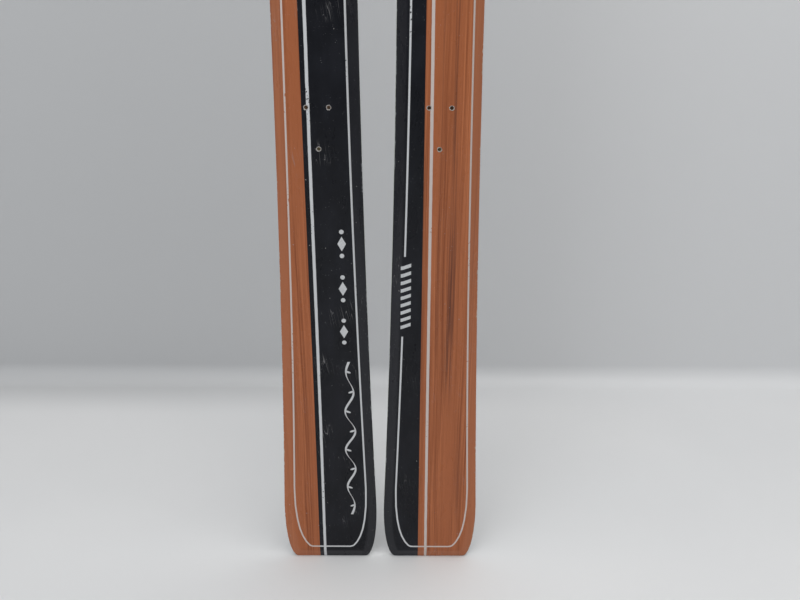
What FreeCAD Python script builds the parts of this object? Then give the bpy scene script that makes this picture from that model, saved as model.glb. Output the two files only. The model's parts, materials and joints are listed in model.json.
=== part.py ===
"""Pair of alpine skis of cap construction, standing on their tails side by side.

Frame: Z runs up each ski from tail to tip, X across the pair, and the running bases face +Y, so the
topsheets face -Y.  The origin is midway between the two tails, on the surface they stand on.
Every ski is laid up from the running base towards the topsheet.  A height is measured from the running
surface, square to it, and an inset is measured inwards from the ski's outline seen from above.
"""
import FreeCAD, Part

import math
import os

from FreeCAD import Vector

DIMENSIONS = {
    # overall shape of one ski
    "ski_length": 1760.0,
    "tail_width": 117.0,
    "waist_width": 86.0,
    "tip_width": 121.0,
    "tail_widest": 85.0,
    "waist_place": 880.0,
    "tip_widest": 1640.0,
    "tail_end_width": 88.0,
    "ski_spacing": 127.0,
    # side view
    "tail_contact": 80.0,
    "tip_contact": 1530.0,
    "camber_height": 7.0,
    "tip_rise": 60.0,
    "tail_thickness": 8.6,
    "waist_thickness": 18.5,
    "tip_thickness": 5.6,
    "platform_start": 610.0,
    "platform_end": 1010.0,
    "taper_run": 430.0,
    # cap
    "shoulder_width": 12.5,
    "shoulder_foot": 4.5,
    "topsheet_thickness": 0.8,
    "upper_laminate_thickness": 0.8,
    # base and edges
    "base_thickness": 1.4,
    "edge_width": 2.0,
    "edge_height": 2.0,
    "flange_reach": 6.5,
    "edge_start": 30.0,
    "edge_finish": 1680.0,
    "foil_thickness": 0.4,
    "lower_laminate_thickness": 0.8,
    # core
    "side_filler_width": 8.0,
    "stringer_width": 15.0,
    "tail_spacer_length": 70.0,
    "tip_spacer_length": 200.0,
    "plate_thickness": 1.0,
    "plate_width": 56.0,
    "plate_start": 500.0,
    "plate_finish": 1080.0,
    # binding screw holes
    "screw_hole_radius": 2.05,
    "screw_hole_depth": 9.5,
    "heel_pair_spacing": 23.5,
    "heel_pair_place": 580.5,
    "heel_single_place": 537.5,
    "toe_spacing_across": 28.0,
    "toe_spacing_along": 42.0,
    "toe_place": 900.0,
    "hole_shift": 1.6,
}

CLEAR = 10.0        # how far construction solids run past what they cut
SEAM_ANGLE = 37.0   # turns a screw hole's seam off the ski's own directions
SKI_SIDES = {"left": -0.5, "right": 0.5}

doc = FreeCAD.newDocument("SkiPair")
sheet = doc.addObject("Spreadsheet::Sheet", "Dimensions")
for row, (alias, value) in enumerate(DIMENSIONS.items(), start=1):
    sheet.set(f"A{row}", alias)
    sheet.set(f"B{row}", str(value))
    sheet.setAlias(f"B{row}", alias)
doc.recompute()


def size(alias):
    """A driving dimension, read back from the sheet."""
    return float(sheet.get(alias))


# ---------------------------------------------------------------- laws of the ski's shape

def sidecut_half_width(z):
    """Half width of the sidecut: one arc from waist to tail, another from waist to tip."""
    waist = size("waist_width") / 2
    far, wide = ("tail_widest", "tail_width") if z < size("waist_place") else ("tip_widest", "tip_width")
    run = abs(size(far) - size("waist_place"))
    gain = size(wide) / 2 - waist
    radius = (run ** 2 + gain ** 2) / (2 * gain)
    away = min(abs(z - size("waist_place")), run)
    return waist + radius - math.sqrt(radius ** 2 - away ** 2)


def sidecut_slope(far, wide):
    """Sideways gain per unit of length where a sidecut arc meets the widest point."""
    run = abs(size(far) - size("waist_place"))
    gain = size(wide) / 2 - size("waist_width") / 2
    return run / ((run ** 2 + gain ** 2) / (2 * gain))


def tip_radius():
    run = size("ski_length") - size("tip_contact")
    return (run ** 2 + size("tip_rise") ** 2) / (2 * size("tip_rise"))


def base_point(z):
    """The running surface in side view: its Y, and the slope of Y along Z."""
    tail, tip = size("tail_contact"), size("tip_contact")
    if z <= tail:
        return 0.0, 0.0
    if z >= tip:
        radius = tip_radius()
        away = z - tip
        rest = math.sqrt(radius ** 2 - away ** 2)
        return -(radius - rest), -away / rest
    half = (tip - tail) / 2
    u = (z - tail - half) / half
    height = size("camber_height")
    return -height * (1 - u * u) ** 2, height * 4 * u * (1 - u * u) / half


def layer_point(z, height, x=0.0):
    """The point that lies a height above the running surface, square to it."""
    y, slope = base_point(z)
    length = math.hypot(1, slope)
    return Vector(x, y - height / length, z + height * slope / length)


def ease(share):
    """Smooth step from 0 to 1."""
    share = min(max(share, 0.0), 1.0)
    return share * share * (3 - 2 * share)


def thickness(z):
    """Whole thickness: thin tail, thick binding platform, thin tip."""
    tail, waist, tip = size("tail_thickness"), size("waist_thickness"), size("tip_thickness")
    run = size("taper_run")
    if z < size("platform_start"):
        return waist + (tail - waist) * ease((size("platform_start") - z) / run)
    forward = ease((z - size("platform_end")) / run)
    return waist + (tip - waist) * forward


def shoulder_slope(z):
    return (thickness(z) - size("shoulder_foot")) / size("shoulder_width")


# ---------------------------------------------------------------- construction shapes

def feature(name, shape):
    """A document object that holds a shape worked out from the laws above."""
    item = doc.addObject("Part::Feature", name)
    item.Shape = shape
    return item


def plan_point(x, z):
    return Vector(x, 0, z)


def bezier(poles):
    curve = Part.BezierCurve()
    curve.setPoles(poles)
    return curve.toShape()


def tail_poles(sign, inset):
    """Poles of the rounded tail corner, from the flat end to the widest place, as (x, z)."""
    wide_z, wide, corner = size("tail_widest"), size("tail_width") / 2, size("tail_end_width") / 2
    flare = sidecut_slope("tail_widest", "tail_width")
    pull, corner_pull = wide_z * 0.6, (wide - corner) * 0.64
    return [
        (sign * (corner - 0.55 * inset), inset),
        (sign * (corner + corner_pull - 1.45 * inset), inset),
        (sign * (wide + flare * pull - inset), wide_z - pull + 0.6 * inset),
        (sign * (wide - inset), wide_z),
    ]


def nose_poles(sign, inset):
    """Poles of the tip's rounded end, from the widest place to the middle, as (x, z)."""
    wide_z, wide, length = size("tip_widest"), size("tip_width") / 2, size("ski_length")
    flare = sidecut_slope("tip_widest", "tip_width")
    pull = (length - wide_z) * 0.4
    return [
        (sign * (wide - inset), wide_z),
        (sign * (wide + flare * pull - inset), wide_z + pull - 0.4 * inset),
        (sign * (wide * 0.62 - 0.6 * inset), length - inset),
        (0, length - inset),
    ]


def outline_edges(inset):
    """The ski's outline seen from above, moved inwards."""
    tail_z, tip_z, waist_z = size("tail_widest"), size("tip_widest"), size("waist_place")
    edges = []
    for sign in (-1, 1):
        edges.append(bezier([plan_point(x, z) for x, z in tail_poles(sign, inset)]))
        edges.append(bezier([plan_point(x, z) for x, z in nose_poles(sign, inset)]))
        for far in (tail_z, tip_z):
            stations = (far, (far + waist_z) / 2, waist_z)
            points = [plan_point(sign * (sidecut_half_width(z) - inset), z) for z in stations]
            edges.append(Part.Arc(*points).toShape())
    corner = size("tail_end_width") / 2 - 0.55 * inset
    edges.append(Part.makeLine(plan_point(-corner, inset), plan_point(corner, inset)))
    return edges


def plan_prism(name, inset_alias=None):
    """The outline, moved inwards, as a prism that runs right through the ski's thickness."""
    inset = size(inset_alias) if inset_alias else 0.0
    profile = feature(name + "Outline", Part.Wire(Part.__sortEdges__(outline_edges(inset))))
    profile.Placement.Base.y = 2 * CLEAR
    prism = doc.addObject("Part::Extrusion", name)
    prism.Base = profile
    prism.DirMode = "Custom"
    prism.Dir = Vector(0, -1, 0)
    prism.setExpression("LengthFwd", f"Dimensions.tip_rise + {4 * CLEAR}")
    prism.Solid = True
    return prism


def height_curves(height):
    """One layer boundary in side view: flat tail, cambered middle, upturned tip."""
    tail, tip, length = size("tail_contact"), size("tip_contact"), size("ski_length")
    middle_points = 9
    stations = [tail + (tip - tail) * i / (middle_points - 1) for i in range(middle_points)]
    middle = Part.BSplineCurve()
    middle.interpolate(
        Points=[layer_point(z, height) for z in stations],
        InitialTangent=Vector(0, 0, 1),
        FinalTangent=Vector(0, 0, 1),
    )
    start = layer_point(-CLEAR, height)
    flat = Part.LineSegment(start, layer_point(tail, height))
    end = length + CLEAR
    rise = Part.Arc(layer_point(tip, height), layer_point((tip + end) / 2, height), layer_point(end, height))
    return [flat.toShape(), middle.toShape(), rise.toShape()]


def slab(name, low, high):
    """A layer between two heights, as wide as the whole ski, still without its outline."""
    lower, upper = height_curves(low), height_curves(high)
    end = size("ski_length") + CLEAR
    closing = [
        Part.makeLine(layer_point(-CLEAR, low), layer_point(-CLEAR, high)),
        Part.makeLine(layer_point(end, low), layer_point(end, high)),
    ]
    wire = Part.Wire(Part.__sortEdges__(lower + upper + closing))
    profile = feature(name + "Profile", wire)
    band = doc.addObject("Part::Extrusion", name)
    band.Base = profile
    band.DirMode = "Custom"
    band.Dir = Vector(1, 0, 0)
    band.Symmetric = True
    band.setExpression("LengthFwd", "Dimensions.tip_width + 20")
    band.Solid = True
    return band


def cap_section(z, sink):
    """A slice square to the ski: flat top between two sloping shoulders, sunk by a shell thickness."""
    angle = math.atan(shoulder_slope(z))
    top = thickness(z) - sink
    half = sidecut_half_width(z)
    ridge = half - size("shoulder_width") - sink * math.tan(angle / 2)
    spread = 4.0
    foot = size("shoulder_foot") - spread * shoulder_slope(z) - sink / math.cos(angle)
    low = -8.0
    outline = [
        (-half - spread, low), (half + spread, low), (half + spread, foot),
        (ridge, top), (-ridge, top), (-half - spread, foot),
    ]
    points = [layer_point(z, h, x) for x, h in outline]
    return Part.makePolygon(points + points[:1])


def cap_stations():
    """Places of the cap's slices: even along the body, closer together in the tip."""
    start, tip, end = size("tail_widest"), size("tip_contact"), size("ski_length") + CLEAR
    body, shovel = 12, 5
    along = [start + (tip - start) * i / body for i in range(body + 1)]
    return along + [tip + (end - tip) * (i + 1) / shovel for i in range(shovel)]


def tail_ring(inset, sink):
    """The tail's outline moved inwards, at the height where the sloping shoulder has that inset."""
    slope = shoulder_slope(0)
    height = size("shoulder_foot") + inset * slope - sink * math.hypot(1, slope)
    sides = {sign: [Vector(x, -height, z) for x, z in tail_poles(sign, inset)] for sign in (-1, 1)}
    edges = [bezier(poles) for poles in sides.values()]
    edges += [Part.makeLine(sides[-1][end], sides[1][end]) for end in (0, -1)]
    return Part.Wire(Part.__sortEdges__(edges))


def cap_blank(name, sink):
    """Everything under the cap, its shoulders carried round the end of the tail."""
    body = feature(name + "Body", Part.makeLoft([cap_section(z, sink) for z in cap_stations()], True, False))
    outer, inner = -12.0, size("shoulder_width") + 2.0
    roof = feature(name + "Roof", Part.makeLoft([tail_ring(outer, sink), tail_ring(inner, sink)], True, True))
    block = doc.addObject("Part::Box", name + "Block")
    block.setExpression("Length", "Dimensions.tail_width + 40")
    block.setExpression("Width", f"Dimensions.tail_thickness - {sink} + {CLEAR}")
    block.setExpression("Height", f"Dimensions.tail_widest + {2 * CLEAR}")
    block.setExpression("Placement.Base.x", "-(Dimensions.tail_width + 40) / 2")
    block.setExpression("Placement.Base.y", f"-(Dimensions.tail_thickness - {sink})")
    block.Placement.Base.z = -2 * CLEAR
    item = doc.addObject("Part::Fuse", name)
    item.Base, item.Tool = body, common(name + "Tail", block, roof)
    return item


def cut(name, base, tool):
    item = doc.addObject("Part::Cut", name)
    item.Base, item.Tool = base, tool
    item.Refine = False
    return item


def common(name, base, tool):
    item = doc.addObject("Part::Common", name)
    item.Base, item.Tool = base, tool
    item.Refine = False
    return item


def stretch(name, start, finish, left=None, right=None):
    """A box that keeps one stretch of the ski, given as expressions for its ends and sides."""
    left = left or "-(Dimensions.tip_width / 2 + 10)"
    right = right or "Dimensions.tip_width / 2 + 10"
    box = doc.addObject("Part::Box", name)
    box.setExpression("Length", f"({right}) - ({left})")
    box.setExpression("Width", "Dimensions.tip_rise + 60")
    box.setExpression("Height", f"({finish}) - ({start})")
    box.setExpression("Placement.Base.x", left)
    box.setExpression("Placement.Base.y", "-(Dimensions.tip_rise + 40)")
    box.setExpression("Placement.Base.z", start)
    return box


def at_heights(name, plan, low, high):
    """A layer between two heights that fills one plan outline."""
    return common(name, plan, slab(name + "Slab", low, high))


# ---------------------------------------------------------------- binding screw holes

def screw_hole(name, across, along):
    """A blind hole square to the topsheet; its mouth lies on the binding platform."""
    z = along
    mouth = layer_point(z, thickness(z)).y
    hole = doc.addObject("Part::Cylinder", name)
    hole.setExpression("Radius", "Dimensions.screw_hole_radius")
    hole.setExpression("Height", f"Dimensions.screw_hole_depth + {CLEAR}")
    seam_turn = FreeCAD.Rotation(Vector(0, 1, 0), SEAM_ANGLE)
    inwards = FreeCAD.Rotation(Vector(1, 0, 0), -90)
    hole.Placement = FreeCAD.Placement(Vector(across, mouth - CLEAR, z), seam_turn * inwards)
    return hole


def screw_holes():
    """Heel screws: a pair and a single one behind it.  Toe screws: a rectangle of four."""
    heel = size("heel_pair_spacing") / 2
    pair = size("heel_pair_place")
    toe_x, toe_z = size("toe_spacing_across") / 2, size("toe_spacing_along") / 2
    toe = size("toe_place")
    places = [(-heel, pair), (heel, pair), (0, size("heel_single_place"))]
    places += [(sx * toe_x, toe + sz * toe_z) for sx in (-1, 1) for sz in (-1, 1)]
    shift = size("hole_shift")
    holes = [screw_hole(f"ScrewHole{i}", x + shift, z) for i, (x, z) in enumerate(places, start=1)]
    group = doc.addObject("Part::MultiFuse", "ScrewHoles")
    group.Shapes = holes
    return group


# ---------------------------------------------------------------- layers of one ski, at X = 0

full_plan = plan_prism("FullPlan")
holes = screw_holes()


def stack_heights():
    """Heights of the flat layers, from the running surface up to the cap."""
    base = size("base_thickness")
    edge = size("edge_height")
    foil = edge + size("foil_thickness")
    laminate = foil + size("lower_laminate_thickness")
    return base, edge, foil, laminate


def running_layers():
    """Base sheet between two steel edges, and the fleece that levels the edges' flanges."""
    base, edge, foil, laminate = stack_heights()
    band = at_heights("EdgeBand", full_plan, 0, edge)
    ring = cut("EdgeRing", band, plan_prism("InsideFlanges", "flange_reach"))
    rebate = at_heights("BaseRebate", plan_prism("InsideEdges", "edge_width"), -1, base)
    rail = cut("EdgeRail", ring, rebate)
    ends = ("Dimensions.edge_start", "Dimensions.edge_finish")
    edges = {
        "minus": common("EdgeMinus", rail, stretch("EdgeMinusBox", *ends, right="0")),
        "plus": common("EdgePlus", rail, stretch("EdgePlusBox", *ends, left="0")),
    }
    pair = doc.addObject("Part::Compound", "EdgePair")
    pair.Links = list(edges.values())
    return {
        "base_sheet": cut("BaseSheet", at_heights("BaseBlank", full_plan, 0, base), pair),
        "edge_fleece": cut("EdgeFleece", at_heights("FleeceBlank", full_plan, base, edge), pair),
        "damping_foil": at_heights("DampingFoil", full_plan, edge, foil),
        "lower_laminate": at_heights("LowerLaminate", full_plan, foil, laminate),
        "steel_edge": edges,
    }


def cap_layers():
    """Topsheet and glass laminate over the core, all shaped by the same cap at rising depths."""
    laminate = stack_heights()[3]
    room = at_heights("CapRoom", full_plan, laminate, size("waist_thickness") + 2 * CLEAR)
    topsheet = size("topsheet_thickness")
    glass = topsheet + size("upper_laminate_thickness")
    plate = glass + size("plate_thickness")
    outer = cap_blank("CapOuter", 0)
    under_topsheet = cap_blank("UnderTopsheet", topsheet)
    under_glass = cap_blank("UnderGlass", glass)
    under_plate = cap_blank("UnderPlate", plate)
    skin = cut("TopsheetSkin", common("TopsheetBlank", room, outer), holes)
    cloth = cut("GlassSkin", common("GlassBlank", room, under_topsheet), holes)
    zone = common("CoreZone", room, under_glass)
    patch = stretch(
        "PlatePatch", "Dimensions.plate_start", "Dimensions.plate_finish",
        "-Dimensions.plate_width / 2", "Dimensions.plate_width / 2",
    )
    plate_blank = cut("PlateBlank", common("PlateZone", zone, patch), under_plate)
    core = cut("CoreBlank", cut("CoreDrilled", zone, holes), plate_blank)
    layers = {
        "topsheet": cut("Topsheet", skin, under_topsheet),
        "upper_laminate": cut("UpperLaminate", cloth, under_glass),
        "binding_plate": cut("BindingPlate", plate_blank, holes),
    }
    layers.update(core_pieces(core))
    return layers


def core_pieces(core):
    """Tail and tip spacers, a rail down each side and five wooden stringers between them."""
    rear = "Dimensions.tail_spacer_length"
    front = "Dimensions.ski_length - Dimensions.tip_spacer_length"
    middle = common("CoreMiddle", core, stretch("CoreMiddleBox", rear, front))
    inside = plan_prism("InsideRails", "side_filler_width")
    rails = cut("CoreRails", middle, inside)
    wood = common("CoreWood", middle, inside)
    half = "Dimensions.stringer_width / 2"
    far = "1.5 * Dimensions.stringer_width"
    lanes = {
        "far_minus": (None, f"-{far}"),
        "near_minus": (f"-{far}", f"-{half}"),
        "centre": (f"-{half}", half),
        "near_plus": (half, far),
        "far_plus": (far, None),
    }
    stringers = {}
    for lane, (left, right) in lanes.items():
        box = stretch(f"Lane_{lane}", rear, front, left, right)
        stringers[lane] = common(f"Stringer_{lane}", wood, box)
    return {
        "tail_spacer": common("TailSpacer", core, stretch("TailSpacerBox", f"{-2 * CLEAR}", rear)),
        "tip_spacer": common(
            "TipSpacer", core, stretch("TipSpacerBox", front, f"Dimensions.ski_length + {2 * CLEAR}")
        ),
        "side_rail": {
            "minus": common("RailMinus", rails, stretch("RailMinusBox", rear, front, right="0")),
            "plus": common("RailPlus", rails, stretch("RailPlusBox", rear, front, left="0")),
        },
        "core_stringer": stringers,
    }


# ---------------------------------------------------------------- the pair

STRINGER_NAMES = {
    "far_minus": "core_poplar_{minus}",
    "near_minus": "core_beech_{minus}",
    "centre": "core_poplar_centre",
    "near_plus": "core_beech_{plus}",
    "far_plus": "core_poplar_{plus}",
}


def place_piece(ski, name, piece):
    """One named sub-part: a layer of the ski moved to that ski's place in the pair."""
    node = doc.addObject("Part::Compound", f"{ski}_{name}")
    node.Label = f"{ski}_{name}"
    node.Links = [piece]
    node.setExpression("Placement.Base.x", f"Dimensions.ski_spacing * {SKI_SIDES[ski]}")
    return node


def place_ski(ski, layers):
    """Every layer of one ski; its outer side faces away from the other ski."""
    minus, plus = ("outer", "inner") if ski == "left" else ("inner", "outer")
    nodes = []
    for name, piece in layers.items():
        if name == "core_stringer":
            for lane, stringer in piece.items():
                label = STRINGER_NAMES[lane].format(minus=minus, plus=plus)
                nodes.append(place_piece(ski, label, stringer))
        elif isinstance(piece, dict):
            nodes.append(place_piece(ski, f"{name}_{minus}", piece["minus"]))
            nodes.append(place_piece(ski, f"{name}_{plus}", piece["plus"]))
        else:
            nodes.append(place_piece(ski, name, piece))
    return nodes


def check_document(nodes):
    """Stop before anything is written if an object failed or a sub-part isn't a sound solid."""
    failed = [item.Name for item in doc.Objects if {"Invalid", "Error"} & set(item.State)]
    if failed:
        raise RuntimeError(f"objects failed to compute: {failed}")
    for node in nodes:
        shape = node.Shape
        if shape.isNull() or not shape.isValid() or len(shape.Solids) != 1:
            raise RuntimeError(f"{node.Label} isn't one valid solid")


layers = {**running_layers(), **cap_layers()}
nodes = place_ski("left", layers) + place_ski("right", layers)
doc.recompute()
check_document(nodes)

os.makedirs("parts", exist_ok=True)
for node in nodes:
    node.Shape.Solids[0].exportStep(f"parts/{node.Label}.step")
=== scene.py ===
"""Looks of a pair of alpine skis: printed caps, bases, steel edges, marks, wear and a plain studio."""
import json
import math

import bmesh
import bpy
import numpy as np
from bpy.props import FloatProperty, FloatVectorProperty, IntProperty, PointerProperty
from mathutils import Matrix, Vector
from mathutils.kdtree import KDTree


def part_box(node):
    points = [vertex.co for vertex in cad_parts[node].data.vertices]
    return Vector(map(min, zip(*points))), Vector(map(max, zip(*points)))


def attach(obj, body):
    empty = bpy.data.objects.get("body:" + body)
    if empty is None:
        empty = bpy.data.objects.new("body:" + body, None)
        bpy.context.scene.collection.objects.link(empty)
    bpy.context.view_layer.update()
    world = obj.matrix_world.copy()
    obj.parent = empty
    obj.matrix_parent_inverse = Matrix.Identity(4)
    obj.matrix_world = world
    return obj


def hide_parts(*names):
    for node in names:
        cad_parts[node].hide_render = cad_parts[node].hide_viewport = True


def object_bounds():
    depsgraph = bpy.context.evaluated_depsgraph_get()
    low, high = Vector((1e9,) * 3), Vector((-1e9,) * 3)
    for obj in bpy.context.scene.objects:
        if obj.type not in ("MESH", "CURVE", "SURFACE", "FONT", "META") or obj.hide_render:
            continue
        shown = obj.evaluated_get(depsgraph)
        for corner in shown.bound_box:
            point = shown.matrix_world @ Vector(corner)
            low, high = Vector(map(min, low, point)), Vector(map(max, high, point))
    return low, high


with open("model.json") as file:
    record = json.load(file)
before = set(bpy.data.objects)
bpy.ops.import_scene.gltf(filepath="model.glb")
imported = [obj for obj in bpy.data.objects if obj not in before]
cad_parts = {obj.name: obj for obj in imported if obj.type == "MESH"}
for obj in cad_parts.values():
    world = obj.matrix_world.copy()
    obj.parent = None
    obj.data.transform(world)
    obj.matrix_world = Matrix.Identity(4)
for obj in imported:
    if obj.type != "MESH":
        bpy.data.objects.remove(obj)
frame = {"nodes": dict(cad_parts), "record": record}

bl_info = {
    "name": "Alpine Ski Pair",
    "version": (1, 0, 0),
    "blender": (4, 5, 0),
    "location": "View3D > Sidebar > Skis",
    "description": "Builds the visible pieces of a pair of cap skis around their solid model",
    "category": "Object",
}

SKIS = ("left", "right")
LOW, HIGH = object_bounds()
RECORD = frame["record"]


def node_middle(node):
    low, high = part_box(node)
    return (low[0] + high[0]) / 2


CENTRE = {ski: node_middle(f"{ski}_topsheet") for ski in SKIS}


# ------------------------------------------------------------------ sizes and colours

def length(name, default, description):
    return FloatProperty(name=name, default=default, description=description, subtype="DISTANCE",
                         unit="LENGTH", precision=4, min=-10.0, max=10.0)


def colour(name, default, description):
    return FloatVectorProperty(name=name, default=default, description=description, subtype="COLOR",
                               size=3, min=0.0, max=1.0)


class SkiShape(bpy.types.PropertyGroup):
    """Sizes of the ski's shape, the same as those of its solid model."""

    ski_length: length("Length", HIGH[2], "Tail to tip")
    tail_width: length("Tail width", 0.117, "Widest place of the tail")
    waist_width: length("Waist width", 0.086, "Narrowest place")
    tip_width: length("Tip width", 0.121, "Widest place of the tip")
    tail_widest: length("Tail place", 0.085, "Height of the widest place of the tail")
    waist_place: length("Waist place", 0.880, "Height of the waist")
    tip_widest: length("Tip place", 1.640, "Height of the widest place of the tip")
    tail_end_width: length("Tail end", 0.088, "Flat end of the tail")
    tail_contact: length("Tail contact", 0.080, "Where the camber starts")
    tip_contact: length("Tip contact", 1.530, "Where the tip starts to rise")
    camber_height: length("Camber", 0.007, "Height of the arch")
    tip_rise: length("Tip rise", 0.060, "How far the tip turns up")
    tail_thickness: length("Tail thickness", 0.0086, "Thickness at the tail")
    waist_thickness: length("Waist thickness", 0.0185, "Thickness under the binding")
    tip_thickness: length("Tip thickness", 0.0056, "Thickness at the tip")
    platform_start: length("Platform start", 0.610, "Rear end of the thick platform")
    platform_end: length("Platform end", 1.010, "Front end of the thick platform")
    taper_run: length("Taper", 0.430, "Length of the taper from the platform to each end")
    shoulder_width: length("Shoulder width", 0.0125, "Sloping side of the cap")
    shoulder_foot: length("Shoulder foot", 0.0045, "Height of the cap's lower rim")
    cap_thickness: length("Cap thickness", 0.0008, "Thickness of the printed cap")
    stack_height: length("Stack height", 0.0032, "Height of the flat layers under the cap")


class SkiPrint(bpy.types.PropertyGroup):
    """Sizes and colours of the printed pattern."""

    split_left: length("Left split", -0.0151, "Where wood meets black on the left ski")
    split_right: length("Right split", -0.0145, "Where black meets wood on the right ski")
    band_left: length("Left band", -0.0083, "Middle of the broad line on the left ski")
    band_right: length("Right band", -0.0048, "Middle of the broad line on the right ski, at the tail")
    lean_left: FloatProperty(name="Left lean", default=0.0,
                             description="Drift of the left broad line per length")
    lean_right: FloatProperty(name="Right lean", default=-0.0041,
                              description="Drift of the right broad line per length")
    band_width: length("Band width", 0.0033, "Width of the broad line")
    border_inset: length("Border inset", 0.0126, "Distance of the thin line from the outline")
    border_width: length("Border width", 0.0020, "Width of the thin line")
    shift_left: length("Left shift", 0.0006, "Sideways place of the left ski's border line")
    shift_right: length("Right shift", 0.0016, "Sideways place of the right ski's border line")
    wood: colour("Wood", (0.400, 0.127, 0.051), "Middle tone of the wood print")
    black: colour("Black", (0.0060, 0.0066, 0.0095), "Black of the print")
    line: colour("Line", (0.64, 0.65, 0.66), "Colour of the lines and marks")


class SkiMarks(bpy.types.PropertyGroup):
    """Plain marks on the black panels."""

    mark_across: length("Marks across", 0.0230, "Diamond marks, from the middle of the left ski")
    mark_low: length("Lowest mark", 0.3245, "Height of the lowest diamond mark")
    mark_step: length("Mark step", 0.0538, "Distance between diamond marks")
    mark_count: IntProperty(name="Marks", default=3, min=1, description="Number of diamond marks")
    diamond_width: length("Diamond width", 0.0095, "Diamond, side to side")
    diamond_height: length("Diamond height", 0.0170, "Diamond, end to end")
    dot_radius: length("Dot radius", 0.0026, "Dots beside each diamond")
    dot_reach: length("Dot reach", 0.0140, "Dots from the middle of their diamond")
    vine_across: length("Vine across", 0.0277, "Wavy line, from the middle of the left ski")
    vine_low: length("Vine low", 0.0680, "Lower end of the wavy line")
    vine_high: length("Vine high", 0.2850, "Upper end of the wavy line")
    bars_across: length("Bars across", -0.0328, "Slanted bars, from the middle of the right ski")
    bars_low: length("Bars low", 0.3320, "Height of the lowest bar")
    bars_high: length("Bars high", 0.4050, "Height of the highest bar")


# ------------------------------------------------------------------ laws of the ski's shape

def ease(share):
    share = min(max(share, 0.0), 1.0)
    return share * share * (3 - 2 * share)


def thickness(shape, z):
    waist = shape.waist_thickness
    if z < shape.platform_start:
        return waist + (shape.tail_thickness - waist) * ease((shape.platform_start - z) / shape.taper_run)
    return waist + (shape.tip_thickness - waist) * ease((z - shape.platform_end) / shape.taper_run)


def base_point(shape, z):
    """The running surface in side view: its Y, and the slope of Y along Z."""
    tail, tip = shape.tail_contact, shape.tip_contact
    if z <= tail:
        return 0.0, 0.0
    if z >= tip:
        run = shape.ski_length - tip
        radius = (run ** 2 + shape.tip_rise ** 2) / (2 * shape.tip_rise)
        rest = math.sqrt(radius ** 2 - (z - tip) ** 2)
        return -(radius - rest), -(z - tip) / rest
    half = (tip - tail) / 2
    u = (z - tail - half) / half
    camber = shape.camber_height
    return -camber * (1 - u * u) ** 2, camber * 4 * u * (1 - u * u) / half


def layer_point(shape, x, z, height):
    """The point over a place in plan, at a height above the running surface square to it."""
    along = z
    for _ in range(4):
        y, slope = base_point(shape, along)
        along = z - height * slope / math.hypot(1, slope)
    y, slope = base_point(shape, along)
    return x, y - height / math.hypot(1, slope), z


def sidecut_half_width(shape, z):
    waist = shape.waist_width / 2
    low = z < shape.waist_place
    far, wide = (shape.tail_widest, shape.tail_width) if low else (shape.tip_widest, shape.tip_width)
    run, gain = abs(far - shape.waist_place), wide / 2 - waist
    radius = (run ** 2 + gain ** 2) / (2 * gain)
    away = min(abs(z - shape.waist_place), run)
    return waist + radius - math.sqrt(radius ** 2 - away ** 2)


def flare(shape, far, wide):
    run, gain = abs(far - shape.waist_place), (wide - shape.waist_width) / 2
    return run / ((run ** 2 + gain ** 2) / (2 * gain))


def bezier_points(poles, count):
    poles = np.array(poles, float)
    t = np.linspace(0, 1, count)[:, None]
    return ((1 - t) ** 3 * poles[0] + 3 * (1 - t) ** 2 * t * poles[1]
            + 3 * (1 - t) * t ** 2 * poles[2] + t ** 3 * poles[3])


def half_outline(shape):
    """Points of the right half of the outline in plan, from the tail's end to the tip, as (x, z)."""
    wide, corner, tail_z = shape.tail_width / 2, shape.tail_end_width / 2, shape.tail_widest
    pull = tail_z * 0.6
    tail = bezier_points([
        (corner, 0), (corner + (wide - corner) * 0.64, 0),
        (wide + flare(shape, tail_z, shape.tail_width) * pull, tail_z - pull), (wide, tail_z),
    ], 160)
    heights = np.linspace(tail_z, shape.tip_widest, 900)[1:-1]
    side = np.array([(sidecut_half_width(shape, z), z) for z in heights])
    wide, run = shape.tip_width / 2, shape.ski_length - shape.tip_widest
    nose = bezier_points([
        (wide, shape.tip_widest),
        (wide + flare(shape, shape.tip_widest, shape.tip_width) * run * 0.4, shape.tip_widest + run * 0.4),
        (wide * 0.62, shape.ski_length), (0, shape.ski_length),
    ], 260)
    return np.vstack([tail, side, nose])


def border_path(shape, printed):
    """Half of the thin line's path in plan: level near the tail's end, then along the outline."""
    corner = [(0.0, 0.018), (0.0255, 0.018), (0.0285, 0.0195), (0.0330, 0.0255), (0.0372, 0.0345),
              (0.0405, 0.0455), (0.0430, 0.0600), (0.0448, 0.0800)]
    inset = printed.border_inset
    outline = half_outline(shape)
    ahead = np.gradient(outline, axis=0)
    ahead /= np.maximum(np.linalg.norm(ahead, axis=1, keepdims=True), 1e-9)
    inwards = np.column_stack([-ahead[:, 1], ahead[:, 0]]) * inset
    side = (outline + inwards)[outline[:, 1] > 0.105]
    corner = np.array(corner)
    steps = np.linspace(0, len(corner) - 1, 120)
    fine = np.column_stack([np.interp(steps, range(len(corner)), corner[:, i]) for i in (0, 1)])
    return np.vstack([fine, densely(np.array([fine[-1], side[0]]), 40), side[side[:, 0] > 0.0]])


def densely(ends, count):
    share = np.linspace(0, 1, count)[:, None]
    return ends[0] + (ends[1] - ends[0]) * share


# ------------------------------------------------------------------ cap mesh

def row_heights(shape):
    """Heights of the cap's rows: close together at both rounded ends."""
    tail = shape.tail_widest * np.linspace(0, 1, 80) ** 2
    body = np.linspace(shape.tail_widest, shape.tip_widest, 200)[1:]
    nose = shape.tip_widest + (shape.ski_length - shape.tip_widest) * (1 - np.linspace(1, 0.06, 70) ** 2)[1:]
    return np.concatenate([tail, body, nose])


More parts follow.
